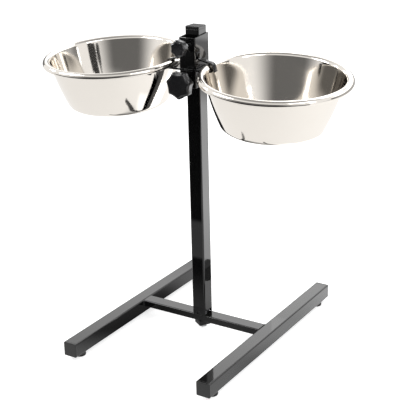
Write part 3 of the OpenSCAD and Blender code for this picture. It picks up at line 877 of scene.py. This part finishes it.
def start_glow(name):
    """A stage material that only glows: its tree, its shader and the three parts of a point's place."""
    material, tree, shader, place = start_material(name)
    shader.inputs["Base Color"].default_value = BLACK
    shader.inputs["Specular IOR Level"].default_value = 0.0
    shader.inputs["Emission Color"].default_value = WHITE
    return material, tree, shader, axes(tree, place)


def grey_screen():
    """Grey screen on the side of the camera, darkest in its middle and below."""
    material, tree, shader, (x, y, z) = start_glow("grey_screen")
    middle = 1.40
    aside = maths(tree, "ABSOLUTE", plus(tree, maths(tree, "ARCTAN2", y, x), middle))
    dark = times(tree, ranged(tree, aside, (0.40, 1.15), FADE), ranged(tree, z, (0.90, 1.25), FADE))
    low = ranged(tree, z, (0.15, 0.50), (0.03, 1.0))
    feed(tree, shader, "Emission Strength", times(tree, spread(tree, dark, 1.0, 0.15), low))
    return material


def bright_backdrop():
    """White backdrop behind the stand: brightest in the middle, dim below, and like the room at its ends."""
    material, tree, shader, (x, y, z) = start_glow("bright_backdrop")
    turned = maths(tree, "ARCTAN2", y, x)
    light = times(tree, ranged(tree, turned, (1.75, 2.80), FADE), ranged(tree, turned, (0.35, 0.75), RISE))
    light = times(tree, light, ranged(tree, z, (2.3, 3.0), FADE))
    over_room = plus(tree, times(tree, light, 1.6), 1.0)
    low = ranged(tree, z, (1.25, 1.65), (0.2, 1.0))
    feed(tree, shader, "Emission Strength", times(tree, over_room, low))
    return material


def grey_ceiling():
    """Grey ceiling over the stand, as bright as the room towards its edges."""
    material, tree, shader, (x, y, _) = start_glow("grey_ceiling")
    squares = plus(tree, maths(tree, "POWER", x, 2.0), maths(tree, "POWER", y, 2.0))
    aside = maths(tree, "SQRT", squares)
    feed(tree, shader, "Emission Strength", ranged(tree, aside, (0.3, CEILING_HALF), (0.35, 1.0)))
    return material


def right_reflection_card():
    """Glowing card behind on the right, seen only in mirrors, that paints a reflection on the right faces of
    the post:
    dimmer where the sleeves mirror it and a little dimmer below."""
    material, tree, shader, (_, _, z) = start_glow("right_reflection_card")
    light = plus(tree, ranged(tree, z, (0.36, 0.42), (3.4, 1.2)), ranged(tree, z, (0.480, 0.492), (0.0, 1.6)))
    feed(tree, shader, "Emission Strength", times(tree, light, ranged(tree, z, (0.06, 0.20), (0.75, 1.0))))
    return material


def front_reflection_card():
    """Black card close before the post, seen only in mirrors, that paints a dark reflection on its front with
    a little painted light below and in one band, on the side that faces the post."""
    material, tree, shader, (_, _, z) = start_glow("front_reflection_card")
    band = times(tree, ranged(tree, z, (0.132, 0.140), (0.0, 0.55)), ranged(tree, z, (0.198, 0.208), FADE))
    light = plus(tree, band, ranged(tree, z, (0.04, 0.12), (0.36, 0.02)))
    towards_post = node(tree, "ShaderNodeNewGeometry").outputs["Backfacing"]
    feed(tree, shader, "Emission Strength", times(tree, light, towards_post))
    return material


level_sheet("floor", FLOOR_HALF, 0.0, white_floor())
curved_wall("screen", SCREEN_R, SCREEN_SWING, SCREEN_Z, grey_screen())
curved_wall("backdrop", BACKDROP_R, BACKDROP_SWING, BACKDROP_Z, bright_backdrop())
for_mirrors_only(level_sheet("ceiling", CEILING_HALF, CEILING_Z, grey_ceiling()))
upright_card("right_reflection_card", SIDE_CARD_X, SIDE_CARD_Y, SIDE_CARD_Z, right_reflection_card())
upright_card("front_reflection_card", FRONT_CARD_X, FRONT_CARD_Y, FRONT_CARD_Z, front_reflection_card())


def seen_directly(tree):
    """1 for rays from the camera, mirrors and glass, and 0 for the rays that light things."""
    path = node(tree, "ShaderNodeLightPath")
    seen = maths(tree, "MAXIMUM", path.outputs["Is Camera Ray"], path.outputs["Is Glossy Ray"])
    return maths(tree, "MAXIMUM", seen, path.outputs["Is Transmission Ray"])


world = bpy.data.worlds.new("studio")
bpy.context.scene.world = world
world.use_nodes = True
sky = world.node_tree
background = sky.nodes["Background"]
background.inputs["Color"].default_value = WHITE
feed(sky, background, "Strength", spread(sky, seen_directly(sky), ROOM_LIGHT, 1.0))


def softbox(name, place, target, width, height, power):
    """A soft rectangular lamp that faces a target."""
    lamp = bpy.data.lights.new(name, "AREA")
    lamp.shape = "RECTANGLE"
    lamp.size = width
    lamp.size_y = height
    lamp.energy = power
    made = bpy.data.objects.new(name, lamp)
    bpy.context.scene.collection.objects.link(made)
    made.visible_camera = False
    back = np.asarray(place, float) - np.asarray(target, float)
    back /= np.linalg.norm(back)
    right = np.cross([0, 0, 1.0], back)
    right /= np.linalg.norm(right)
    stand_at(made, right, np.cross(back, right), back, place)


MIDDLE = (0, 0, 0.3)
CLAMP_SPOT = (0, 0, 0.47)
softbox("key_left", (-1.3, -0.9, 1.7), MIDDLE, width=0.9, height=0.9, power=16.0)
softbox("fill_right", (1.5, -0.5, 1.3), MIDDLE, width=0.9, height=1.2, power=9.0)
softbox("side_left", (-1.7, -0.05, 1.25), CLAMP_SPOT, width=0.25, height=0.25, power=8.0)
softbox("top_rear", (0.2, 1.2, 1.9), MIDDLE, width=1.6, height=0.8, power=10.0)

bpy.context.scene.view_settings.view_transform = "Standard"
